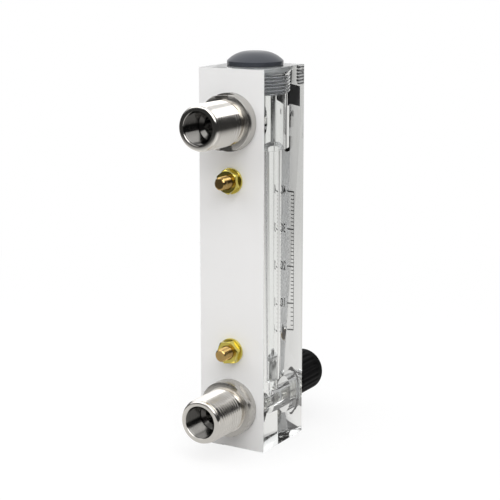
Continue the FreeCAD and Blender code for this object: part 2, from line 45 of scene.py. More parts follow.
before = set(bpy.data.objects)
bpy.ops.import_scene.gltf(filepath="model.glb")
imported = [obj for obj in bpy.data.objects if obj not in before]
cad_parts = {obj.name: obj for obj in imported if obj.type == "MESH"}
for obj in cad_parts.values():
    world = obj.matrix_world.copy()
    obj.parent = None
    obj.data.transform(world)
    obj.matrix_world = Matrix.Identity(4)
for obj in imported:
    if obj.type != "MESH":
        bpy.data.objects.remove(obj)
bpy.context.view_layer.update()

MM = 0.001
ALONG_Y = Matrix.Rotation(math.radians(-90), 4, "X")

BLOCK_LOW, BLOCK_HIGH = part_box("acrylic_body")
FILM_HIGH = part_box("white_backing")[1]
PLUG_LOW, PLUG_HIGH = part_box("top_plug")
OUTLET_LOW, OUTLET_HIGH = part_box("outlet_fitting")
INLET_LOW, INLET_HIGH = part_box("inlet_fitting")
OUTLET_Z = (OUTLET_LOW.z + OUTLET_HIGH.z) / 2
INLET_Z = (INLET_LOW.z + INLET_HIGH.z) / 2
STUD_ENDS = {name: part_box(name) for name in ("upper_stud", "lower_stud")}
BONNET_LOW, BONNET_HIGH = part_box("valve_bonnet")
KNOB_LOW, KNOB_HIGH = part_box("valve_knob")
SCREW_LOW, SCREW_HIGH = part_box("knob_set_screw")

FRONT = BLOCK_LOW.y
BACK = FILM_HIGH.y
TOP = BLOCK_HIGH.z
OVERRUN = 1 * MM              # how far a cutter reaches past the face that it opens
THREAD_GAP = 0.1 * MM         # play round the plug's thread
RING_SQUEEZE = 0.03 * MM      # how far the plug's seal presses into the acrylic
INK_BED = 0.05 * MM           # how far printing ink reaches into the face
INK_PROUD = 0.03 * MM         # how far it stands out
FIGURE_DEPTH = 0.04 * MM      # half the thickness of a printed figure
FIGURE_SWELL = 0.05 * MM      # how much its strokes are fattened
FIGURE_SINK = 0.01 * MM       # how far its middle lies behind the face
FINE_STEPS = 128              # turned steps of the largest rounds
ROUND_STEPS = 96              # turned steps of the middling rounds
THREAD_STEPS = 72             # turned steps in one turn of a large thread
SMALL_STEPS = 48              # turned steps of the smaller rounds
HOLE_STEPS = 32               # turned steps of the smallest holes
THREAD_FLAT = 0.14            # share of a thread's pitch that is flat at its crest
UP = (0, 0, 1)
LENGTHWAYS = (0, 1, 0)
BLACK = (0, 0, 0, 1)
WHITE = (1, 1, 1, 1)


# ---- settings ----


def length(name, description, value_mm):
    """A length setting, its default given in millimetres."""
    return FloatProperty(name=name, description=description, default=value_mm * MM, min=0.0,
                         precision=5, unit="LENGTH")


def shade(name, description, value):
    """A colour setting."""
    return FloatVectorProperty(name=name, description=description, default=value, size=3,
                               min=0.0, max=1.0, subtype="COLOR")


class RotameterBlock(bpy.types.PropertyGroup):
    """Sizes of the clear block and what is drilled in it."""

    edge: length("Edge", "Bevel along the block's polished edges", 0.3)
    film_bond: length("Film bond", "How far the acrylic reaches into the film bonded to it", 0.05)
    tube_ledge: length("Tube ledge", "Height of the ledge under the float", 30.0)
    tube_bottom: length("Tube bottom radius", "Radius of the tapered tube at its ledge", 5.15)
    tube_top: length("Tube top radius", "Radius of the tapered tube where it opens out", 5.85)
    tube_end: length("Tube end", "Height where the tube opens into the chamber", 138.6)
    cone: length("Cone", "Height of the cone between the tube and the chamber", 1.0)
    chamber: length("Chamber radius", "Radius of the outlet chamber, the plug's tapping size", 11.2)
    foot: length("Foot radius", "Radius of the hole from the valve up to the tube", 3.5)
    passage: length("Passage radius", "Radius of the passages behind the fittings", 5.2)
    seal_recess: length("Seal recess radius", "Radius of the recess round the plug's seal", 12.3)
    seal_depth: length("Seal recess depth", "Depth of the recess round the plug's seal", 3.6)
    spigot_hole: length("Spigot hole radius", "Radius of the holes that take the fittings", 10.05)
    spigot_floor: length("Spigot hole depth", "Depth of those holes from the back face", 8.75)
    spigot_recess: length("Spigot recess radius", "Radius of the seal recess round a fitting", 11.9)
    spigot_recess_depth: length("Spigot recess depth", "Depth of that recess", 1.8)
    valve_bore: length("Valve bore radius", "Radius of the needle valve's bore", 6.0)
    orifice: length("Orifice radius", "Radius of the needle's orifice", 2.6)
    orifice_face: length("Orifice face",
                         "Distance of the orifice's edge behind the tube's axis", 3.0)
    orifice_depth: length("Orifice depth",
                          "Thickness of the wall that the orifice goes through", 3.5)
    bonnet_thread: length("Bonnet thread", "Radius of the thread that takes the bonnet", 9.05)
    bonnet_recess: length("Bonnet recess radius",
                          "Radius of the recess round the bonnet's seal", 10.6)
    bonnet_recess_depth: length("Bonnet recess depth", "Depth of that recess", 1.6)
    stud_hole: length("Stud hole radius", "Radius of the holes that take the studs", 3.05)
    stud_hole_end: length("Stud hole end", "Gap left beyond a stud's inner end", 0.5)
    tint: shade("Acrylic tint", "Colour of the clear acrylic", (0.985, 0.995, 0.99))
    film: shade("Film colour", "Colour of the white film on the back", (0.90, 0.905, 0.91))


class RotameterPlug(bpy.types.PropertyGroup):
    """Sizes of the top plug and its seal."""

    flange: length("Flange radius", "Radius of the plug's flange", 13.0)
    rim: length("Rim height", "Height of the upright rim under the dome", 2.1)
    lip: length("Lip", "Small chamfer round the flange's underside", 0.3)
    flat_top: length("Flat top radius", "Radius of the flat on top of the dome", 4.8)
    neck: length("Neck radius", "Radius of the neck inside the seal", 8.7)
    thread_root: length("Thread root", "Root radius of the plug's thread", 10.95)
    thread_crest: length("Thread crest", "Crest radius of the plug's thread", 11.9)
    thread_pitch: length("Thread pitch", "Pitch of the plug's thread", 1.5)
    rod_socket: length("Rod socket radius", "Radius of the socket that takes the stop rod", 2.3)
    rod_socket_depth: length("Rod socket depth", "Depth of that socket", 6.55)
    tint: shade("Plug colour", "Colour of the moulded plug", (0.055, 0.060, 0.073))
    # painted light: the dark plug's thread is painted light grey where it sits in the block,
    # standing for how light through the acrylic shows it
    thread: shade("Thread colour", "Colour of the plug's thread, seen through the acrylic",
                  (0.40, 0.41, 0.43))
    seal: shade("Seal colour", "Colour of the pale silicone seals", (0.46, 0.47, 0.48))


class RotameterFitting(bpy.types.PropertyGroup):
    """Sizes of a pipe fitting."""

    collar: length("Collar radius", "Radius of the collar", 13.25)
    collar_length: length("Collar length", "Length of the collar", 6.4)
    round_rim: length("Round rim", "Length of collar left round next to the block", 3.0)
    flats: length("Flats", "Distance across the wrench flats", 24.6)
    relief: length("Relief radius", "Radius of the groove behind the thread", 9.2)
    relief_length: length("Relief length", "Length of that groove", 1.8)
    lead: length("Lead radius", "Radius of the plain band at the thread's open end", 9.95)
    lead_length: length("Lead length", "Length of that plain band", 1.7)
    spigot: length("Spigot radius", "Radius of the end held in the block", 10.0)
    bore: length("Bore radius", "Radius of the bore", 5.0)
    thread_crest: length("Thread crest", "Crest radius of the outer pipe thread", 10.4775)
    thread_root: length("Thread root", "Root radius of the outer pipe thread", 9.3155)
    thread_pitch: length("Thread pitch", "Pitch of the outer pipe thread", 1.814)
    socket_crest: length("Socket crest", "Crest radius of the socket's thread", 7.05)
    socket_root: length("Socket root", "Root radius of the socket's thread", 7.6)
    socket_pitch: length("Socket pitch", "Pitch of the socket's thread", 1.337)
    socket_depth: length("Socket depth", "Depth of the threaded socket", 12.0)
    plating: shade("Plating", "Colour of the plated metal", (0.84, 0.815, 0.775))


class RotameterStud(bpy.types.PropertyGroup):
    """Sizes of a mounting stud, its washer and its nut."""

    crest: length("Stud crest", "Crest radius of the stud's thread", 2.98)
    root: length("Stud root", "Root radius of the stud's thread", 2.39)
    pitch: length("Stud pitch", "Pitch of the stud's thread", 1.0)
    chamfer: length("Stud chamfer", "Chamfer on the stud's ends", 0.7)
    washer: length("Washer radius", "Radius of the washer", 6.0)
    washer_hole: length("Washer hole", "Radius of the washer's hole", 3.2)
    washer_thickness: length("Washer thickness", "Thickness of the washer", 1.2)
    nut_flats: length("Nut flats", "Distance across the nut's flats", 10.0)
    nut_thickness: length("Nut thickness", "Thickness of the nut", 3.2)
    brass: shade("Nut brass", "Colour of the nuts and washers", (0.78, 0.66, 0.16))
    bronze: shade("Stud brass", "Colour of the studs", (0.60, 0.41, 0.16))


class RotameterValve(bpy.types.PropertyGroup):
    """Sizes of the valve's bonnet and knob."""

    bonnet_root: length("Bonnet thread root", "Root radius of the bonnet's thread", 8.4)
    bonnet_crest: length("Bonnet thread crest", "Crest radius of the bonnet's thread", 9.0)
    bonnet_pitch: length("Bonnet pitch", "Pitch of the bonnet's thread", 1.0)
    bonnet_flats: length("Bonnet flats", "Distance across the bonnet's hexagon", 22.0)
    bonnet_flange: length("Bonnet hexagon", "Thickness of the bonnet's hexagon", 4.0)
    bonnet_neck: length("Bonnet neck", "Radius of the bonnet's neck", 6.5)
    stem_hole: length("Stem hole", "Radius of the hole round the stem", 3.05)
    knob: length("Knob radius", "Radius over the knob's grip", 10.5)
    nose: length("Nose rounding", "Rounding of the knob's nose", 2.6)
    flutes: IntProperty(name="Flutes", description="Number of grip flutes", default=24, min=3)
    flute_depth: length("Flute depth", "Depth of a grip flute", 0.45)
    flute_length: length("Flute length", "Length of the grip flutes", 17.0)
    skirt: length("Skirt radius", "Radius of the hollow behind the knob", 8.6)
    skirt_depth: length("Skirt depth", "Depth of that hollow", 1.2)
    bore_depth: length("Knob bore depth", "Depth of the stem's hole in the knob", 18.0)
    screw_hole: length("Screw hole", "Radius of the hole for the set screw", 2.05)
    plating: shade("Valve plating", "Colour of the valve's stem and bonnet", (0.80, 0.79, 0.76))
    stem_edge: length("Stem edge", "Rounding of the stem's sharp edges", 0.12)
    screw: shade("Screw colour", "Colour of the blackened set screw", (0.05, 0.05, 0.055))
    tint: shade("Knob colour", "Colour of the moulded knob", (0.002, 0.002, 0.0022))


class RotameterFloat(bpy.types.PropertyGroup):
    """Finish of the float and of the rod that stops it."""

    edge: length("Float edge", "Rounding of the float's and the rod's sharp edges", 0.10)
    steel: shade("Float steel", "Colour of the float and the rod", (0.62, 0.62, 0.62))


class RotameterScale(bpy.types.PropertyGroup):
    """Places of the printed scale on the front face."""

    top: length("Top mark", "Height of the highest mark", 116.9)
    bottom: length("Bottom mark", "Height of the lowest mark", 50.4)
    line: length("Base line", "Distance of the scale's base line left of the tube's axis", 2.8)
    long_mark: length("Long mark", "Length of a numbered mark", 8.2)
    short_mark: length("Short mark", "Length of a mark without a number", 3.7)
    stroke: length("Stroke", "Width of a printed line", 0.42)
    figure: length("Figure height", "Size of the printed figures", 6.0)
    figure_place: length("Figure place", "Distance of the figures right of the tube's axis", 10.2)
    field: length("Title field", "Half the width of the plain black field", 10.4)
    field_low: length("Title field foot", "Height of the field's lower edge", 157.7)
    field_high: length("Title field top", "Height of the field's upper edge", 167.0)
    unit: length("Unit height", "Size of the unit's type", 3.6)
    unit_place: length("Unit place", "Height of the unit's middle", 153.4)
    ink: shade("Ink", "Colour of the printing ink", (0.008, 0.008, 0.009))


class RotameterStage(bpy.types.PropertyGroup):
    """The camera, the lamps and the floor."""

    floor_size: FloatProperty(name="Floor size", description="Radius of the floor sheet",
                              default=4.0, unit="LENGTH")
    lens: FloatProperty(name="Lens", description="Focal length of the camera",
                        default=107.5, min=1.0, unit="CAMERA")
    key_power: FloatProperty(name="Key power", description="Power of the large soft lamp",
                             default=10.0, unit="POWER")
    fill_power: FloatProperty(name="Fill power", description="Power of the second soft lamp",
                              default=5.0, unit="POWER")


# ---- shader writing ----


class Wire:
    """A shader socket that can be used in Python sums."""

    def __init__(self, tree, socket):
        self.tree = tree
        self.socket = socket

    def _math(self, operation, first, second):
        return node(self.tree, "ShaderNodeMath", {"operation": operation}, {0: first, 1: second})

    def __add__(self, other):
        return self._math("ADD", self, other)

    def __sub__(self, other):
        return self._math("SUBTRACT", self, other)

    def __rsub__(self, other):
        return self._math("SUBTRACT", other, self)

    def __mul__(self, other):
        return self._math("MULTIPLY", self, other)

    def __truediv__(self, other):
        return self._math("DIVIDE", self, other)

    def larger(self, other):
        """Whichever of the two is more."""
        return self._math("MAXIMUM", self, other)


def node(tree, kind, settings=None, values=None, output=0):
    """Add one node: its settings first, then the values or wires of its sockets."""
    made = tree.nodes.new(kind)
    for name, value in (settings or {}).items():
        setattr(made, name, value)
    for name, value in (values or {}).items():
        socket = made.inputs[name]
        if isinstance(value, Wire):
            tree.links.new(value.socket, socket)
        else:
            socket.default_value = value
    return Wire(tree, made.outputs[output])


def vector_math(tree, operation, values, output=0):
    """A Vector Math node on its first one or two sockets."""
    return node(tree, "ShaderNodeVectorMath", {"operation": operation},
                dict(enumerate(values)), output)


def ray_is(tree, kind):
    """1 on rays of a kind: camera, glossy, transmission or shadow."""
    return node(tree, "ShaderNodeLightPath", output=f"Is {kind} Ray")


def mix_shaders(tree, share, first, second):
    """Shader between two others."""
    return node(tree, "ShaderNodeMixShader", {}, {"Fac": share, 1: first, 2: second})


def blend_colours(tree, share, first, second):
    """Colour between two others."""
    return node(tree, "ShaderNodeMix", {"data_type": "RGBA"}, {0: share, 6: first, 7: second}, 2)


def bump(tree, height, distance, strength):
    """Normal bent by a height pattern."""
    return node(tree, "ShaderNodeBump", {},
                {"Height": height, "Distance": distance, "Strength": strength})


def eased(tree, value, start, end):
    """0 before the start, 1 after the end, and smooth between."""
    return node(tree, "ShaderNodeMapRange", {"interpolation_type": "SMOOTHSTEP"},
                {"Value": value, "From Min": start, "From Max": end, "To Min": 0.0, "To Max": 1.0})


def new_tree(holder):
    """An emptied node tree on a new material or world."""
    holder.use_nodes = True
    holder.node_tree.nodes.clear()
    return holder.node_tree


def show(tree, shader, kind="ShaderNodeOutputMaterial"):
    """Give a tree its output node, showing a shader."""
    tree.links.new(shader.socket, tree.nodes.new(kind).inputs["Surface"])


def principled(name, values, paint):
    """A Principled material; paint(tree) returns more socket values to join in."""
    material = bpy.data.materials.new(name)
    tree = new_tree(material)
    show(tree, node(tree, "ShaderNodeBsdfPrincipled", {}, {**values, **paint(tree)}))
    return material


def place(tree):
    """The point being shaded, in the object's own frame."""
    return node(tree, "ShaderNodeTexCoord", output="Object")


def speckle(tree, scale, detail, stretch=(1, 1, 1)):
    """Soft noise from 0 to 1 at a scale in cells for each metre."""
    point = node(tree, "ShaderNodeMapping", {}, {"Vector": place(tree), "Scale": stretch})
    return node(tree, "ShaderNodeTexNoise", {},
                {"Vector": point, "Scale": scale, "Detail": detail})


def off_axis(tree, height, axis):
    """The point being shaded, from the piece's axis, and its distance from that axis."""
    offset = vector_math(tree, "SUBTRACT", [place(tree), (0, 0, height)])
    across = tuple(1 - part for part in axis)
    flat = vector_math(tree, "MULTIPLY", [offset, across])
    return offset, vector_math(tree, "LENGTH", [flat], "Value")


def beyond(tree, radius, height, axis):
    """1 further than a radius from the piece's axis, 0 nearer."""
    return eased(tree, off_axis(tree, height, axis)[1], radius - 0.1 * MM, radius + 0.1 * MM)


def lathe_marks(tree, spacing, height, axis):
    """Fine rings left by turning: round the axis on a barrel, concentric on an end face."""
    offset, radius = off_axis(tree, height, axis)
    along = vector_math(tree, "DOT_PRODUCT", [offset, axis], "Value")
    return node(tree, "ShaderNodeTexNoise", {"noise_dimensions": "1D"},
                {"W": (along * 1.3 + radius) / spacing, "Scale": 1.0, "Detail": 2.0})


def opaque(colour, share=1.0):
    """A colour setting, darkened or lightened by a share, with full alpha."""
    return (colour[0] * share, colour[1] * share, colour[2] * share, 1.0)


# ---- finishes ----


def polished_acrylic(scene):
    """Clear cast acrylic; light from the lamps passes it straight on to what is inside."""
    tint = opaque(scene.rotameter_block.tint)
    material = bpy.data.materials.new("polished_acrylic")
    tree = new_tree(material)
    glass = node(tree, "ShaderNodeBsdfPrincipled", {},
                 {"Base Color": tint, "Roughness": 0.0, "IOR": 1.49, "Transmission Weight": 1.0})
    through = node(tree, "ShaderNodeBsdfTransparent", {}, {"Color": tint})
    show(tree, mix_shaders(tree, ray_is(tree, "Shadow"), glass, through))
    return material


def satin_film(scene):
    """Satin white film with a faint roll texture."""
    colour = scene.rotameter_block.film

    def paint(tree):
        cloud = speckle(tree, 45.0, 3.0)
        roll = speckle(tree, 1600.0, 2.0, stretch=(1, 1, 0.12))
        shown = blend_colours(tree, cloud, opaque(colour, 0.985), opaque(colour, 1.01))
        return {"Base Color": shown,
                "Roughness": cloud * 0.08 + 0.36,
                "Normal": bump(tree, roll, 0.01 * MM, 0.25)}
    return principled("satin_film", {"Specular IOR Level": 0.45}, paint)


def moulded(name, colour, roughness, grain, coarse=2600.0, gloss=0.5, lower=None):
    """Moulded plastic or rubber with a fine grain; below the block's top it may be painted in a
    second, lighter colour as painted light.
    """

    def paint(tree):
        fine = speckle(tree, coarse, 3.0)
        cloud = speckle(tree, 160.0, 3.0)
        shown = blend_colours(tree, cloud, opaque(colour, 0.85), opaque(colour, 1.2))
        if lower:
            height = node(tree, "ShaderNodeSeparateXYZ", {}, {"Vector": place(tree)}, "Z")
            # painted light: from just under the block's top down, the plug takes the lighter thread
            # colour
            inside = 1 - eased(tree, height, TOP - 1.2 * MM, TOP)
            shown = blend_colours(tree, inside, shown, opaque(lower))
        return {"Base Color": shown,
                "Roughness": cloud * 0.10 + fine * 0.08 + (roughness - 0.09),
                "Normal": bump(tree, fine, grain * MM, 0.5)}
    return principled(name, {"Specular IOR Level": gloss}, paint)


def slate_plastic(scene):
    """Slate grey moulded plug, its thread inside the block painted light grey as painted light."""
    plug = scene.rotameter_plug
    return moulded("slate_plastic", plug.tint, 0.30, 0.02, lower=plug.thread)


def black_plastic(scene):
    """Black moulded knob."""
    return moulded("black_plastic", scene.rotameter_valve.tint, 0.60, 0.04, 3200.0, gloss=0.07)


def pale_silicone(scene):
    """Pale silicone rubber with a faint bloom."""
    return moulded("pale_silicone", scene.rotameter_plug.seal, 0.40, 0.01, 1800.0)


def blackened_steel(scene):
    """Blackened steel of the set screw."""
    return moulded("blackened_steel", scene.rotameter_valve.screw, 0.38, 0.01)


def printing_ink(scene):
    """Screen-printed black ink."""
    return moulded("printing_ink", scene.rotameter_scale.ink, 0.38, 0.006, 2200.0)


def turned_metal(name, colour, roughness, height, axis=LENGTHWAYS, darker=0.86, bore=0.0,
                 collar=0.0):
    """Turned metal with its lathe rings and smears; a bore may be painted dark as painted shade,
    and a collar is rougher and darker.
    """

    def paint(tree):
        rings = lathe_marks(tree, 0.28 * MM, height, axis)
        coarse = lathe_marks(tree, 1.6 * MM, height, axis)
        cloud = speckle(tree, 130.0, 4.0)
        specks = speckle(tree, 3000.0, 2.0)
        tone = cloud * 0.6 + coarse * 0.4
        shown = blend_colours(tree, tone, opaque(colour, darker), opaque(colour, 1.12))
        gloss = cloud * 0.08 + rings * 0.06 + (roughness - 0.07)
        # painted shade: inside the bore's radius the metal is painted near black, for the shade in
        # the bore
        if bore:
            inside = 1 - beyond(tree, bore, height, axis)
            shown = blend_colours(tree, inside, shown, opaque(colour, 0.15))
        if collar:
            outside = beyond(tree, collar, height, axis)
            shown = blend_colours(tree, outside, shown, opaque(colour, 0.68))
            gloss = gloss + outside * 0.12
        return {"Base Color": shown,
                "Roughness": gloss,
                "Normal": bump(tree, rings * 0.7 + specks * 0.3, 0.012 * MM, 0.55)}
    return principled(name, {"Metallic": 1.0}, paint)


def plating(which, height, roughness, scene):
    """Nickel plating of a fitting, its bore painted near black as painted shade, with its satin
    collar.
    """
    fitting = scene.rotameter_fitting
    # the socket's root radius bounds the painted shade of the bore
    return turned_metal(which + "_plating", fitting.plating, roughness, height,
                        bore=fitting.socket_root, collar=fitting.thread_crest + 0.3 * MM)


def stud_brass(which, part, colour, roughness, scene):
    """Turned brass of a stud, or of its nut and washer."""
    return turned_metal(f"{which}_{part}_brass", getattr(scene.rotameter_stud, colour), roughness,
                        stud_height(which), darker=0.7)


def valve_plating(scene):
    """Plated brass of the valve's stem and bonnet."""
    return turned_metal("valve_plating", scene.rotameter_valve.plating, 0.26, INLET_Z)


def polished_steel(scene):
    """Polished steel of the float and its stop."""
    return turned_metal("polished_steel", scene.rotameter_float.steel, 0.15, 0.0, UP)


FINISHES = {made.__name__: made for made in (
    polished_acrylic, satin_film, slate_plastic, black_plastic, pale_silicone, blackened_steel,
    printing_ink, valve_plating, polished_steel)}
FINISHES["outlet_plating"] = partial(plating, "outlet", OUTLET_Z, 0.12)
FINISHES["inlet_plating"] = partial(plating, "inlet", INLET_Z, 0.16)
for _which, _roughness in (("upper", 0.20), ("lower", 0.22)):
    FINISHES[_which + "_nut_brass"] = partial(stud_brass, _which, "nut", "brass", _roughness)
    FINISHES[_which + "_stud_brass"] = partial(stud_brass, _which, "stud", "bronze", _roughness)


def finish(name):
    """A finish by its name, made the first time it is wanted."""
    return bpy.data.materials.get(name) or FINISHES[name](bpy.context.scene)


def stud_height(which):
    """Height of the upper or the lower stud's axis."""
    low, high = STUD_ENDS[which + "_stud"]
    return (low.z + high.z) / 2


# ---- mesh making ----


def keep(name, bm, material, body, replaced=(), smooth=35.0):
    """Make a finished object of a bmesh, riding on its body and standing for its CAD nodes."""
    made = to_object(name, bm, smooth)
    made.data.materials.append(finish(material))
    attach(made, body)
    if replaced:
        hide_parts(*replaced)
    return made


def to_object(name, bm, smooth=35.0):
    """A plain object of a bmesh, shaded smooth up to an angle."""
    mesh = bpy.data.meshes.new(name)
    bm.to_mesh(mesh)
    bm.free()
    mesh.shade_smooth()
    mesh.set_sharp_from_angle(angle=math.radians(smooth))
    made = bpy.data.objects.new(name, mesh)
    bpy.context.scene.collection.objects.link(made)
    return made


def repaint(name, material):
    """Give a CAD node that stays as it is a better finish."""
    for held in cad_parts[name].material_slots:
        held.material = finish(material)


def refined_copy(node_name, edge):
    """Merged copy of a CAD node's mesh with its sharp edges eased."""
    bm = bmesh.new()
    bm.from_mesh(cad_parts[node_name].data)
    bmesh.ops.remove_doubles(bm, verts=bm.verts, dist=1e-6)
    bmesh.ops.dissolve_limit(bm, angle_limit=math.radians(0.5), verts=bm.verts, edges=bm.edges)
    return soften(bm, edge, 2, 25.0) if edge else bm


def refine(name, source, edge, material, body):
    """Keep a CAD node's own shape, its sharp edges eased, with a better finish."""
    return keep(name, refined_copy(source, edge), material, body, [source], smooth=30)


def turn_profile(points, steps):
    """Closed solid turned about Z from (radius, height) points."""
    bm = bmesh.new()
    verts = [bm.verts.new((radius, 0, height)) for radius, height in points]
    edges = [bm.edges.new(pair) for pair in zip(verts, verts[1:])]
    if points[0][0] > 0:
        edges.append(bm.edges.new((verts[-1], verts[0])))
    bmesh.ops.spin(bm, geom=verts + edges, cent=(0, 0, 0), axis=UP, angle=2 * math.pi,
                   steps=steps, use_merge=True)
    bmesh.ops.remove_doubles(bm, verts=bm.verts, dist=1e-7)
    bmesh.ops.recalc_face_normals(bm, faces=bm.faces)
    return bm


def soften(bm, width, segments, sharper_than):
    """Bevel every edge that turns more than an angle."""
    limit = math.radians(sharper_than)
    edges = [edge for edge in bm.edges
             if len(edge.link_faces) == 2 and edge.calc_face_angle(0.0) > limit]
    bmesh.ops.bevel(bm, geom=edges, offset=width, offset_type="OFFSET", segments=segments,
                    affect="EDGES", profile=0.5, material=-1, clamp_overlap=True)
    return bm


def threaded_rod(root, crest, pitch, bottom, top, steps, chamfers=(0.0, 0.0)):
    """Closed right-hand threaded rod about Z, its ends cut square and chamfered."""
    bm = bmesh.new()
    height = top - bottom
    crest_half = THREAD_FLAT * pitch / 2
    root_half = (0.5 - THREAD_FLAT / 2) * pitch
    points = [(root, -pitch / 2), (root, -root_half), (crest, -crest_half), (crest, crest_half),
              (root, root_half), (root, pitch / 2)]
    verts = [bm.verts.new((radius, 0, rise - pitch)) for radius, rise in points]
    edges = [bm.edges.new(pair) for pair in zip(verts, verts[1:])]
    turns = math.ceil(height / pitch) + 2
    bmesh.ops.spin(bm, geom=verts + edges, cent=(0, 0, 0), axis=UP, angle=2 * math.pi * turns,
                   steps=steps * turns, dvec=(0, 0, pitch / steps), use_merge=False)
    bmesh.ops.remove_doubles(bm, verts=bm.verts, dist=pitch / 400)
    for level, side in ((0.0, -1), (height, 1)):
        geometry = bm.verts[:] + bm.edges[:] + bm.faces[:]
        bmesh.ops.bisect_plane(bm, geom=geometry, dist=1e-7, plane_co=(0, 0, level),
                               plane_no=(0, 0, side), clear_outer=True)
        rim = [edge for edge in bm.edges if edge.is_boundary
               and all(abs(vert.co.z - level) < 2e-6 for vert in edge.verts)]
        bmesh.ops.edgeloop_fill(bm, edges=rim)
    for vert in bm.verts:
        limit = min(crest, crest - chamfers[0] + vert.co.z,
                    crest - chamfers[1] + height - vert.co.z)
        radius = math.hypot(vert.co.x, vert.co.y)
        if radius > limit:
            vert.co.x *= limit / radius
            vert.co.y *= limit / radius
    bmesh.ops.translate(bm, vec=(0, 0, bottom), verts=bm.verts)
    bmesh.ops.recalc_face_normals(bm, faces=bm.faces)
    return bm


def lay_along_y(bm, height):
    """Lay a piece made along Z along Y, at a height."""
    bmesh.ops.transform(bm, matrix=Matrix.Translation((0, 0, height)) @ ALONG_Y, verts=bm.verts)
    return bm


def carve(bm, cutters, operation="DIFFERENCE"):
    """Cut closed solids out of a closed solid, or join or intersect them."""
    target = to_object("carved", bm)
    tools = []
    for cutter in cutters:
        tool = to_object("cutter", cutter)
        step = target.modifiers.new("cut", "BOOLEAN")
        step.operation = operation
        step.solver = "EXACT"
        step.object = tool
        tools.append(tool)
    bpy.context.view_layer.update()
    evaluated = target.evaluated_get(bpy.context.evaluated_depsgraph_get())
    result = bmesh.new()
    result.from_mesh(evaluated.data)
    for used in tools + [target]:
        mesh = used.data
        bpy.data.objects.remove(used)
        bpy.data.meshes.remove(mesh)
    bmesh.ops.remove_doubles(result, verts=result.verts, dist=2e-7)
    return result


def box_mesh(low, high):
    """Closed box between two corners."""
    bm = bmesh.new()
    bmesh.ops.create_cube(bm, size=1.0)
    size = high - low
    bmesh.ops.scale(bm, vec=size, verts=bm.verts)
    bmesh.ops.translate(bm, vec=(low + high) / 2, verts=bm.verts)
    return bm


# ---- the clear block ----


def tube_void(b):
    """Tapered tube, its foot and the chamber above it."""
    seal_floor = TOP - b.seal_depth
    over = TOP + OVERRUN
    cone = b.tube_end + b.cone
    return turn_profile([
        (0, INLET_Z), (b.foot, INLET_Z), (b.foot, b.tube_ledge), (b.tube_bottom, b.tube_ledge),
        (b.tube_top, b.tube_end), (b.chamber, cone), (b.chamber, seal_floor),
        (b.seal_recess, seal_floor), (b.seal_recess, over), (0, over)], FINE_STEPS)


def spigot_void(b, height):
    """Hole for a fitting with the recess for its seal."""
    floor = BACK - b.spigot_floor
    step = BACK - b.spigot_recess_depth
    over = BACK + OVERRUN
    return lay_along_y(turn_profile([
        (0, floor), (b.spigot_hole, floor), (b.spigot_hole, step), (b.spigot_recess, step),
        (b.spigot_recess, over), (0, over)], ROUND_STEPS), height)


def valve_void(b):
    """Needle valve bore, orifice and the passage behind it."""
    over = FRONT - OVERRUN
    gland = FRONT + b.bonnet_recess_depth
    thread_end = BONNET_HIGH.y + b.film_bond
    wall = b.orifice_face + b.orifice_depth
    inner = BACK - b.spigot_floor + OVERRUN
    return lay_along_y(turn_profile([
        (0, over), (b.bonnet_recess, over), (b.bonnet_recess, gland), (b.bonnet_thread, gland),
        (b.bonnet_thread, thread_end), (b.valve_bore, thread_end), (b.valve_bore, b.orifice_face),
        (b.orifice, b.orifice_face), (b.orifice, wall), (b.passage, wall), (b.passage, inner),
        (0, inner)], ROUND_STEPS), INLET_Z)


def bored(radius, start, end, height, steps):
    """Plain round cutter along Y."""
    outline = [(0, start), (radius, start), (radius, end), (0, end)]
    return lay_along_y(turn_profile(outline, steps), height)


def clear_block(b, p):
    """Polished block with every bore, chamber, recess and the plug's thread cut in it."""
    high = Vector((BLOCK_HIGH.x, BLOCK_HIGH.y + b.film_bond, TOP))
    block = soften(box_mesh(BLOCK_LOW, high), b.edge, 3, 30.0)
    inner = BACK - b.spigot_floor + OVERRUN
    thread_start = PLUG_LOW.z + 2 * THREAD_GAP
    thread_end = TOP - b.seal_depth + 3 * THREAD_GAP
    plug_thread = threaded_rod(b.chamber, p.thread_crest + THREAD_GAP, p.thread_pitch,
                               thread_start, thread_end, ROUND_STEPS)
    cutters = [tube_void(b), plug_thread, valve_void(b), bored(b.passage, 0, inner, OUTLET_Z, 64),
               spigot_void(b, OUTLET_Z), spigot_void(b, INLET_Z)]
    for which, (low, _) in STUD_ENDS.items():
        height = stud_height(which.removesuffix("_stud"))
        start = low.y - b.stud_hole_end
        cutters.append(bored(b.stud_hole, start, BACK + OVERRUN, height, SMALL_STEPS))
    return keep("clear_block", carve(block, cutters), "polished_acrylic", "housing",
                ["acrylic_body"])


# ---- top plug and seals ----


def round_section(inner, outer, low, high, corner, steps=5):
    """Outline of a ring's section with rounded corners, as (radius, height) points."""
    points = []
    far, near, over, under = outer - corner, inner + corner, high - corner, low + corner
    for radius, height, start in ((far, under, -90), (far, over, 0), (near, over, 90),
                                  (near, under, 180)):
        for step in range(steps + 1):
            turn = math.radians(start + 90 * step / steps)
            points.append((radius + corner * math.cos(turn), height + corner * math.sin(turn)))
    return points


def dome_points(outer, inner, low, high, sweep=40.0, steps=12):
    """Points of a shallow dome's profile on one arc, from its rim in to its flat top."""
    half = math.radians(sweep / 2)
    run, rise = outer - inner, high - low
    points = []
    for step in range(steps + 1):
        turn = half * (2 * step / steps - 1)
        along = (math.sin(turn) / math.sin(half) + 1) / 2
        bulge = (math.cos(turn) - math.cos(half)) / (2 * math.sin(half))
        points.append((outer - along * run + bulge * rise, low + along * rise + bulge * run))
    return points


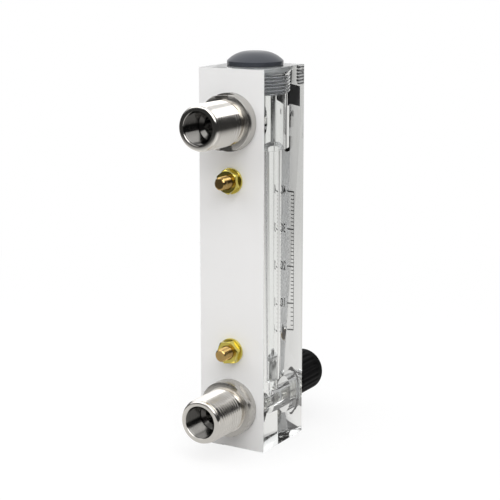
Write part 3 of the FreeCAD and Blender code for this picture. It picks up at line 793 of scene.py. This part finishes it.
def domed_plug(p, b):
    """Domed plug with its coarse thread, its neck and the stop rod's socket."""
    thread_top = TOP - b.seal_depth
    neck_start = thread_top - OVERRUN
    socket_end = PLUG_LOW.z + p.rod_socket_depth
    body = turn_profile([
        (0, neck_start), (p.neck, neck_start), (p.neck, TOP), (p.flange - p.lip, TOP),
        (p.flange, TOP + p.lip), *dome_points(p.flange, p.flat_top, TOP + p.rim, PLUG_HIGH.z),
        (0, PLUG_HIGH.z)], FINE_STEPS)
    rod = threaded_rod(p.thread_root, p.thread_crest, p.thread_pitch, PLUG_LOW.z, thread_top,
                       ROUND_STEPS, (0.8 * MM, 0.5 * MM))
    socket = turn_profile([
        (0, PLUG_LOW.z - OVERRUN), (p.rod_socket, PLUG_LOW.z - OVERRUN),
        (p.rod_socket, socket_end), (0, socket_end)], HOLE_STEPS)
    solid = carve(carve(body, [rod], "UNION"), [socket])
    return keep("domed_plug", solid, "slate_plastic", "housing", ["top_plug"],
                smooth=32)


def plug_seal(p, b):
    """Squeezed ring that fills its recess and presses on the acrylic."""
    floor = TOP - b.seal_depth - RING_SQUEEZE
    ring = turn_profile(round_section(p.neck, b.seal_recess + RING_SQUEEZE, floor,
                                      TOP - 0.02 * MM, 0.9 * MM), FINE_STEPS)
    return keep("plug_seal", ring, "pale_silicone", "housing", ["top_plug_oring"])


def round_seal(name, replaced, body):
    """O-ring of round section in the place of its eight-sided CAD ring, about the line along Y."""
    low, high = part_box(replaced)
    section = high.y - low.y
    middle = (high.z - low.z) / 2 - section / 2
    centre_y = (low.y + high.y) / 2
    turns = [math.tau * step / 16 for step in range(16)]
    ring = turn_profile([(middle + section / 2 * math.cos(turn),
                          centre_y + section / 2 * math.sin(turn)) for turn in turns], ROUND_STEPS)
    return keep(name, lay_along_y(ring, (low.z + high.z) / 2), "pale_silicone", body,
                [replaced])


# ---- pipe fittings ----


def flat_cutters(f, base, angle):
    """Two blocks that mill the wrench flats into the collar."""
    cutters = []
    reach = f.collar + 2 * MM
    for side in (0, 180):
        cutter = box_mesh(Vector((f.flats / 2, -reach, base + f.round_rim)),
                          Vector((f.flats / 2 + reach, reach, base + f.collar_length + OVERRUN)))
        turn = Matrix.Rotation(-math.radians(angle + side), 4, "Z")
        bmesh.ops.transform(cutter, matrix=turn, verts=cutter.verts)
        cutters.append(cutter)
    return cutters


def pipe_fitting(name, f, low, high, angle, material):
    """Turned fitting: spigot, collar with flats, outer pipe thread and threaded socket."""
    start, end = low.y, high.y
    lead_in = 0.8 * MM
    edge = 0.35 * MM
    rim = 0.5 * MM
    collar_end = BACK + f.collar_length
    lead_start = end - f.lead_length
    core = turn_profile([
        (0, start), (f.spigot - lead_in, start), (f.spigot, start + lead_in), (f.spigot, BACK),
        (f.collar - edge, BACK), (f.collar - 0.1 * MM, BACK + 0.1 * MM), (f.collar, BACK + edge),
        (f.collar, collar_end - rim), (f.collar - 0.15 * MM, collar_end - 0.15 * MM),
        (f.collar - rim, collar_end), (f.relief, collar_end),
        (f.relief, lead_start - 0.6 * MM), (f.lead, lead_start),
        (f.lead, end - 0.75 * MM), (f.lead - 0.12 * MM, end - 0.4 * MM),
        (f.lead - rim, end - 0.06 * MM), (f.lead - 0.65 * MM, end), (0, end)], FINE_STEPS)
    core = carve(core, flat_cutters(f, BACK, angle))
    thread = threaded_rod(f.thread_root, f.thread_crest, f.thread_pitch,
                          collar_end + f.relief_length * 0.6, lead_start + 0.5 * MM,
                          THREAD_STEPS, (1.1 * MM, 1.1 * MM))
    floor = end - f.socket_depth
    socket = threaded_rod(f.socket_crest, f.socket_root, f.socket_pitch, floor, end - 0.35 * MM,
                          THREAD_STEPS, (0.0, 0.5 * MM))
    open_mouth = f.socket_root + 0.12 * MM
    mouth = turn_profile([
        (0, start - OVERRUN), (f.bore, start - OVERRUN), (f.bore, floor - 1.2 * MM),
        (f.socket_crest, floor + 0.05 * MM), (f.socket_crest - 0.03 * MM, end - 0.9 * MM),
        (f.socket_root + 0.02 * MM, end - 0.12 * MM), (open_mouth, end),
        (open_mouth, end + OVERRUN), (0, end + OVERRUN)], ROUND_STEPS)
    solid = carve(carve(core, [thread], "UNION"), [socket, mouth])
    return keep(name + "_pipe_fitting", lay_along_y(solid, (low.z + high.z) / 2), material,
                "housing", [name + "_fitting"], smooth=28)


# ---- studs ----


def hexagon(flats, low, high, angle):
    """Hexagonal bar along Z that, laid along Y, has a corner at the angle from +X towards +Z."""
    bm = bmesh.new()
    bmesh.ops.create_circle(bm, segments=6, radius=flats / 2 / math.cos(math.pi / 6), cap_ends=True)
    grown = bmesh.ops.extrude_face_region(bm, geom=bm.faces[:])
    far_end = [item for item in grown["geom"] if isinstance(item, bmesh.types.BMVert)]
    bmesh.ops.translate(bm, vec=(0, 0, high - low), verts=far_end)
    first = bm.verts[:][0].co
    first_corner = math.degrees(math.atan2(first.y, first.x))
    turn = Matrix.Rotation(-math.radians(angle + first_corner), 4, "Z")
    bmesh.ops.transform(bm, matrix=Matrix.Translation((0, 0, low)) @ turn, verts=bm.verts)
    bmesh.ops.recalc_face_normals(bm, faces=bm.faces)
    return bm


def hexagon_nut(flats, low, high, hole, angle):
    """Hexagonal nut with rounded-off corners on both faces."""
    corner = flats / 2 / math.cos(math.pi / 6)
    past = corner + 0.02 * MM
    drop = 0.42 * MM
    set_in = 0.75 * MM
    barrel = turn_profile([
        (hole, low), (corner - set_in, low), (past, low + drop), (past, high - drop),
        (corner - set_in, high), (hole + 0.45 * MM, high), (hole, high - 0.4 * MM)], ROUND_STEPS)
    return carve(barrel, [hexagon(flats, low - OVERRUN, high + OVERRUN, angle)], "INTERSECT")


def mounting_stud(which, t, corner_angle):
    """Threaded stud with its plain washer and hexagon nut."""
    low, high = STUD_ENDS[which + "_stud"]
    top = BACK + t.washer_thickness
    nut_end = top + t.nut_thickness
    rod = threaded_rod(t.root, t.crest, t.pitch, low.y, high.y, SMALL_STEPS,
                       (t.chamfer, t.chamfer))
    washer = turn_profile(round_section(t.washer_hole, t.washer, BACK, top, 0.22 * MM, 4),
                          ROUND_STEPS)
    nut = hexagon_nut(t.nut_flats, top, nut_end, t.crest + 0.02 * MM, corner_angle)
    for made, piece, metal, replaced, smooth in (
            (rod, "_threaded_stud", "_stud_brass", "_stud", 28),
            (washer, "_plain_washer", "_nut_brass", "_stud_washer", 35),
            (nut, "_hex_nut", "_nut_brass", "_stud_nut", 25)):
        keep(which + piece, lay_along_y(made, stud_height(which)), which + metal, "housing",
             [which + replaced], smooth)


# ---- valve and knob ----


def threaded_bonnet(v):
    """Bonnet: threaded body in the block, hexagon on the front face and a neck for the stem."""
    outer, inner = BONNET_LOW.y, BONNET_HIGH.y
    flange = FRONT - v.bonnet_flange
    edge = 0.5 * MM
    fillet = 0.4 * MM
    hexagonal = hexagon_nut(v.bonnet_flats, flange, FRONT, v.stem_hole, 30.0)
    neck = turn_profile([
        (0, outer), (v.bonnet_neck - edge, outer), (v.bonnet_neck, outer + edge),
        (v.bonnet_neck, flange - fillet), (v.bonnet_neck + fillet, flange),
        (v.bonnet_root, flange + edge), (v.bonnet_root, inner - edge),
        (v.bonnet_root - edge, inner), (0, inner)], ROUND_STEPS)
    rod = threaded_rod(v.bonnet_root, v.bonnet_crest, v.bonnet_pitch, FRONT - OVERRUN, inner,
                       THREAD_STEPS, (0.0, 0.6 * MM))
    hole = turn_profile([
        (0, outer - OVERRUN), (v.stem_hole, outer - OVERRUN), (v.stem_hole, inner + OVERRUN),
        (0, inner + OVERRUN)], SMALL_STEPS)
    solid = carve(carve(neck, [rod, hexagonal], "UNION"), [hole])
    return keep("threaded_bonnet", lay_along_y(solid, INLET_Z), "valve_plating", "housing",
                ["valve_bonnet"], smooth=28)


def knob_outline(v, nose, tail):
    """Profile of the knob from its nose round its grip and into the hollow behind."""
    start = nose + v.nose
    points = [(0, nose + 0.25 * MM), (v.knob * 0.55, nose + 0.1 * MM), (v.knob - v.nose, nose)]
    for step in range(1, 9):
        turn = math.radians(90 * step / 8)
        points.append((v.knob - v.nose + v.nose * math.sin(turn), start - v.nose * math.cos(turn)))
    span = tail - 0.5 * MM - start
    points += [(v.knob, start + span * part / 14) for part in range(1, 15)]
    skirt = tail - v.skirt_depth
    bore = tail - v.bore_depth
    return points + [
        (v.knob - 0.15 * MM, tail - 0.15 * MM), (v.knob - 0.5 * MM, tail), (v.skirt, tail),
        (v.skirt - 0.1 * MM, skirt), (v.stem_hole, skirt), (v.stem_hole, bore), (0, bore)]


def fluted_knob(v):
    """Moulded knob: rounded nose, round-bottomed grip flutes and a set screw hole."""
    nose, tail = KNOB_LOW.y, KNOB_HIGH.y
    bm = turn_profile(knob_outline(v, nose, tail), v.flutes * 10)
    flute_end = tail - v.flute_length
    flute_share = 0.62      # of the way round, the rest is left between the flutes
    run_out = 1.6 * MM
    reach = 12 * MM
    for vert in bm.verts:
        radius = math.hypot(vert.co.x, vert.co.y)
        if radius < v.knob - v.nose * 0.8:
            continue
        around = math.atan2(vert.co.y, vert.co.x) * v.flutes / math.tau
        across = abs((around - 0.5) % 1.0 - 0.5) * 2
        dip = max(0.0, 1 - (across / flute_share) ** 2) * v.flute_depth
        run = min(1.0, max(0.0, (vert.co.z - flute_end) / run_out))
        vert.co.x *= 1 - dip * run / radius
        vert.co.y *= 1 - dip * run / radius
    lay_along_y(bm, INLET_Z)
    hole = turn_profile([(0, 0), (v.screw_hole, 0), (v.screw_hole, reach), (0, reach)], HOLE_STEPS)
    bmesh.ops.translate(hole, vec=(0, (SCREW_LOW.y + SCREW_HIGH.y) / 2, INLET_Z), verts=hole.verts)
    return keep("fluted_knob", carve(bm, [hole]), "black_plastic", "knob",
                ["valve_knob"], smooth=40)


# ---- printed scale ----


def ink_plate(low_x, high_x, low_z, high_z):
    """A bar of ink on the front face, just bedded into it."""
    return box_mesh(Vector((low_x, FRONT - INK_PROUD, low_z)),
                    Vector((high_x, FRONT + INK_BED, high_z)))


def figures(text, size, centre_x, centre_z):
    """Ink figures, readable from the front."""
    curve = bpy.data.curves.new("figure", "FONT")
    curve.body = text
    curve.size = size
    curve.align_x = "CENTER"
    curve.align_y = "CENTER"
    curve.extrude = FIGURE_DEPTH
    curve.offset = FIGURE_SWELL
    curve.resolution_u = 4
    written = bpy.data.objects.new("figure", curve)
    bpy.context.scene.collection.objects.link(written)
    bpy.context.view_layer.update()
    evaluated = written.evaluated_get(bpy.context.evaluated_depsgraph_get())
    mesh = bpy.data.meshes.new_from_object(evaluated)
    bm = bmesh.new()
    bm.from_mesh(mesh)
    bpy.data.objects.remove(written)
    bpy.data.curves.remove(curve)
    bpy.data.meshes.remove(mesh)
    upright = Matrix.Rotation(math.radians(90), 4, "X")
    stand = Matrix.Translation((centre_x, FRONT + FIGURE_SINK, centre_z)) @ upright
    bmesh.ops.transform(bm, matrix=stand, verts=bm.verts)
    return bm


def gathered(parts):
    """One bmesh of several."""
    whole = bmesh.new()
    for part in parts:
        mesh = bpy.data.meshes.new("part")
        part.to_mesh(mesh)
        part.free()
        whole.from_mesh(mesh)
        bpy.data.meshes.remove(mesh)
    return whole


def printed_scale(s):
    """Graduation lines on their base line, with figures from 4 to 40."""
    half = s.stroke / 2
    thick = s.stroke * 0.8
    line = -s.line
    last_step = 36 / 50     # the stretch from 10 down to 4, beside a step of ten
    one_step = (s.top - s.bottom) / (3 + last_step)
    numbered = [(s.top - one_step * place, str(40 - 10 * place), 10) for place in range(3)]
    numbered += [(s.top - one_step * 3, "10", 6), (s.bottom, "4", 0)]
    parts = [ink_plate(line - half, line + half, s.bottom - half, s.top + half)]
    for (height, text, divisions), following in zip(numbered, numbered[1:] + [None]):
        parts.append(ink_plate(line, line + s.long_mark, height - thick, height + thick))
        parts.append(figures(text, s.figure, s.figure_place, height))
        for mark in range(1, divisions):
            z = height + (following[0] - height) * mark / divisions
            parts.append(ink_plate(line, line + s.short_mark, z - half, z + half))
    return keep("printed_scale", gathered(parts), "printing_ink", "housing")


def title_field(s):
    """Plain black field above the scale, with the unit of flow in small type below it."""
    parts = [ink_plate(-s.field, s.field, s.field_low, s.field_high),
             figures("l/h", s.unit, 0, s.unit_place)]
    return keep("title_field", gathered(parts), "printing_ink", "housing")


# ---- stage ----


BACKDROP = (0.507, -0.862, 0)     # level direction from the camera to the backdrop
CAMERA_PLACE = (-0.3464, 0.5941, 0.23985)
CAMERA_AIM = (0.0011, 0.0029, 0.0915)
SENSOR_WIDTH = 36
KEY_PLACE = (-0.55, 0.75, 1.05)
FILL_PLACE = (0.85, 0.80, 0.95)
LAMP_AIM = (0, 0, 0.09)
LAMP_SIZE = 1.2
FLOOR_DROP = 0.15 * MM            # gap under the object, so that no faces coincide
SHADED_PAPER = (0.66, 0.64, 0.62, 1)
CLEAN_PAPER = (0.95, 0.95, 0.95, 1)
WARM_PAPER = (0.97, 0.96, 0.94, 1)


def toward_backdrop(tree, direction, start=0.62, end=0.80):
    """1 where a level direction points at the lit backdrop, 0 beside it and behind the camera."""
    level = vector_math(tree, "MULTIPLY", [direction, (1, 1, 0)])
    unit = vector_math(tree, "NORMALIZE", [level])
    return eased(tree, vector_math(tree, "DOT_PRODUCT", [unit, BACKDROP], "Value"), start, end)


def studio_world(scene):
    """White backdrop behind the object and a soft ceiling; behind the camera it is dim."""
    scene.world = bpy.data.worlds.new("studio")
    tree = new_tree(scene.world)
    direction = node(tree, "ShaderNodeTexCoord", output="Generated")
    rise = node(tree, "ShaderNodeSeparateXYZ", {}, {"Vector": direction}, "Z")
    ceiling = eased(tree, rise, 0.30, 0.75) * 0.9
    level = toward_backdrop(tree, direction).larger(ceiling) * 0.97 + 0.03
    room = node(tree, "ShaderNodeBackground", {},
                {"Color": blend_colours(tree, level, BLACK, WHITE), "Strength": 1.0})
    white = node(tree, "ShaderNodeBackground", {}, {"Color": WHITE, "Strength": 1.0})
    show(tree, mix_shaders(tree, ray_is(tree, "Camera"), room, white), "ShaderNodeOutputWorld")


def floor_paper():
    """White paper that keeps the object's shadow and fades into the white backdrop; in reflections
    and through the acrylic it glows with a painted pool of light and a painted shadow.
    """
    material = bpy.data.materials.new("floor_paper")
    tree = new_tree(material)
    point = place(tree)
    away = vector_math(tree, "LENGTH", [point], "Value")
    near = 1 - eased(tree, away, 0.10, 0.45)
    # painted shadow: in reflections and through the acrylic, the floor right under the object is
    # darkened
    under = 1 - eased(tree, away, 0.014, 0.032)
    paper = node(tree, "ShaderNodeBsdfDiffuse", {}, {"Color": SHADED_PAPER})
    clean = node(tree, "ShaderNodeBsdfDiffuse", {}, {"Color": CLEAN_PAPER})
    white = node(tree, "ShaderNodeEmission", {}, {"Color": WHITE, "Strength": 1.0})
    shown = mix_shaders(tree, near * 0.25, white, clean)
    # painted light: in reflections the floor glows as a pool that fades with distance and is
    # brighter towards the backdrop
    spill = 1 - eased(tree, away, 0.15, 0.80) * 0.95
    side = toward_backdrop(tree, point, -0.8, 0.2) * 0.25 + 0.75
    level = toward_backdrop(tree, point).larger(spill * side) * (1 - under * 0.8)
    warm = blend_colours(tree, level, BLACK, WARM_PAPER)
    lit = node(tree, "ShaderNodeEmission", {}, {"Color": warm, "Strength": 0.86})
    shiny = ray_is(tree, "Glossy").larger(ray_is(tree, "Transmission"))
    reflected = mix_shaders(tree, shiny, paper, lit)
    show(tree, mix_shaders(tree, ray_is(tree, "Camera"), reflected, shown))
    return material


def facing(where, aim):
    """Matrix that stands at a point and looks at another."""
    where = Vector(where)
    turn = (Vector(aim) - where).to_track_quat("-Z", "Y").to_matrix().to_4x4()
    return Matrix.Translation(where) @ turn


def soft_lamp(scene, name, where, power):
    """Square lamp that faces the middle of the object."""
    lamp = bpy.data.lights.new(name, "AREA")
    lamp.shape = "SQUARE"
    lamp.size = LAMP_SIZE
    lamp.energy = power
    held = bpy.data.objects.new(name, lamp)
    held.matrix_world = facing(where, LAMP_AIM)
    scene.collection.objects.link(held)


def build_camera(scene, lens):
    """Camera at the viewing angle, a little above the object."""
    held = bpy.data.objects.new("camera", bpy.data.cameras.new("camera"))
    scene.collection.objects.link(held)
    held.matrix_world = facing(CAMERA_PLACE, CAMERA_AIM)
    held.data.lens = lens
    held.data.sensor_width = SENSOR_WIDTH
    scene.camera = held


# ---- operators ----


class ROTAMETER_OT_block(bpy.types.Operator):
    """Build the clear block and finish the white film on its back"""

    bl_idname = "rotameter.block"
    bl_label = "Clear Block"

    def execute(self, context):
        clear_block(context.scene.rotameter_block, context.scene.rotameter_plug)
        repaint("white_backing", "satin_film")
        return {"FINISHED"}


class ROTAMETER_OT_plug(bpy.types.Operator):
    """Build the domed top plug and its squeezed seal"""

    bl_idname = "rotameter.plug"
    bl_label = "Top Plug"

    def execute(self, context):
        plug, block = context.scene.rotameter_plug, context.scene.rotameter_block
        domed_plug(plug, block)
        plug_seal(plug, block)
        return {"FINISHED"}


class ROTAMETER_OT_fittings(bpy.types.Operator):
    """Build both pipe fittings with their threads, flats and seals"""

    bl_idname = "rotameter.fittings"
    bl_label = "Pipe Fittings"

    def execute(self, context):
        fitting = context.scene.rotameter_fitting
        pipe_fitting("outlet", fitting, OUTLET_LOW, OUTLET_HIGH, 85, "outlet_plating")
        pipe_fitting("inlet", fitting, INLET_LOW, INLET_HIGH, 138, "inlet_plating")
        round_seal("outlet_round_seal", "outlet_oring", "housing")
        round_seal("inlet_round_seal", "inlet_oring", "housing")
        return {"FINISHED"}


class ROTAMETER_OT_studs(bpy.types.Operator):
    """Build both mounting studs with their washers and nuts"""

    bl_idname = "rotameter.studs"
    bl_label = "Mounting Studs"

    def execute(self, context):
        stud = context.scene.rotameter_stud
        mounting_stud("upper", stud, 83)
        mounting_stud("lower", stud, 48)
        return {"FINISHED"}


class ROTAMETER_OT_valve(bpy.types.Operator):
    """Build the bonnet and the seals of the needle valve and finish its stem"""

    bl_idname = "rotameter.valve"
    bl_label = "Needle Valve"

    def execute(self, context):
        valve = context.scene.rotameter_valve
        threaded_bonnet(valve)
        round_seal("bonnet_round_seal", "bonnet_oring", "housing")
        round_seal("stem_round_seal", "stem_oring", "valve_spindle")
        refine("turned_stem", "valve_stem", valve.stem_edge, "valve_plating", "valve_spindle")
        return {"FINISHED"}


class ROTAMETER_OT_knob(bpy.types.Operator):
    """Build the fluted knob and finish its set screw"""

    bl_idname = "rotameter.knob"
    bl_label = "Valve Knob"

    def execute(self, context):
        fluted_knob(context.scene.rotameter_valve)
        refine("set_screw", "knob_set_screw", 0.0, "blackened_steel", "knob")
        return {"FINISHED"}


class ROTAMETER_OT_float(bpy.types.Operator):
    """Finish the metering float and the stop rod above it"""

    bl_idname = "rotameter.float"
    bl_label = "Float and Stop"

    def execute(self, context):
        edge = context.scene.rotameter_float.edge
        refine("turned_float", "metering_float", edge, "polished_steel", "float")
        refine("stop_rod", "float_stop", edge, "polished_steel", "housing")
        return {"FINISHED"}


class ROTAMETER_OT_scale(bpy.types.Operator):
    """Print the scale and the plain title field on the front face"""

    bl_idname = "rotameter.scale"
    bl_label = "Printed Scale"

    def execute(self, context):
        printed_scale(context.scene.rotameter_scale)
        title_field(context.scene.rotameter_scale)
        return {"FINISHED"}


class ROTAMETER_OT_stage(bpy.types.Operator):
    """Set up the studio: floor, backdrop, soft lamps and camera"""

    bl_idname = "rotameter.stage"
    bl_label = "Stage"

    def execute(self, context):
        scene = context.scene
        stage = scene.rotameter_stage
        studio_world(scene)
        sheet = bmesh.new()
        bmesh.ops.create_circle(sheet, cap_ends=True, segments=64, radius=stage.floor_size)
        bmesh.ops.translate(sheet, vec=(0, 0, -FLOOR_DROP), verts=sheet.verts)
        floor = to_object("floor", sheet)
        floor.data.materials.append(floor_paper())
        soft_lamp(scene, "key_lamp", KEY_PLACE, stage.key_power)
        soft_lamp(scene, "fill_lamp", FILL_PLACE, stage.fill_power)
        build_camera(scene, stage.lens)
        scene.view_settings.view_transform = "Standard"
        return {"FINISHED"}


class ROTAMETER_PT_panel(bpy.types.Panel):
    """Lists the rotameter's pieces"""

    bl_idname = "ROTAMETER_PT_panel"
    bl_label = "Rotameter"
    bl_space_type = "VIEW_3D"
    bl_region_type = "UI"
    bl_category = "Rotameter"

    def draw(self, context):
        layout = self.layout
        for operator in OPERATORS:
            layout.operator(operator.bl_idname)
        for holder, group in GROUPS.items():
            box = layout.box()
            box.label(text=holder.removeprefix("rotameter_").capitalize())
            held = getattr(context.scene, holder)
            for setting in group.__annotations__:
                box.prop(held, setting)


GROUPS = {"rotameter_block": RotameterBlock, "rotameter_plug": RotameterPlug,
          "rotameter_fitting": RotameterFitting, "rotameter_stud": RotameterStud,
          "rotameter_valve": RotameterValve, "rotameter_float": RotameterFloat,
          "rotameter_scale": RotameterScale, "rotameter_stage": RotameterStage}
OPERATORS = (ROTAMETER_OT_block, ROTAMETER_OT_plug, ROTAMETER_OT_fittings, ROTAMETER_OT_studs,
             ROTAMETER_OT_valve, ROTAMETER_OT_knob, ROTAMETER_OT_float, ROTAMETER_OT_scale,
             ROTAMETER_OT_stage)


def register():
    """Register every class and hang the settings on the scene."""
    for group in GROUPS.values():
        bpy.utils.register_class(group)
    for operator in OPERATORS:
        bpy.utils.register_class(operator)
    bpy.utils.register_class(ROTAMETER_PT_panel)
    for holder, group in GROUPS.items():
        setattr(bpy.types.Scene, holder, PointerProperty(type=group))


def unregister():
    """Take the settings off the scene and unregister every class."""
    for holder in GROUPS:
        delattr(bpy.types.Scene, holder)
    bpy.utils.unregister_class(ROTAMETER_PT_panel)
    for operator in reversed(OPERATORS):
        bpy.utils.unregister_class(operator)
    for group in reversed(GROUPS.values()):
        bpy.utils.unregister_class(group)


def main():
    """Build the pieces in order."""
    register()
    bpy.ops.rotameter.block()
    bpy.ops.rotameter.plug()
    bpy.ops.rotameter.fittings()
    bpy.ops.rotameter.studs()
    bpy.ops.rotameter.valve()
    bpy.ops.rotameter.knob()
    bpy.ops.rotameter.float()
    bpy.ops.rotameter.scale()
    bpy.ops.rotameter.stage()


if __name__ == "__main__":
    main()
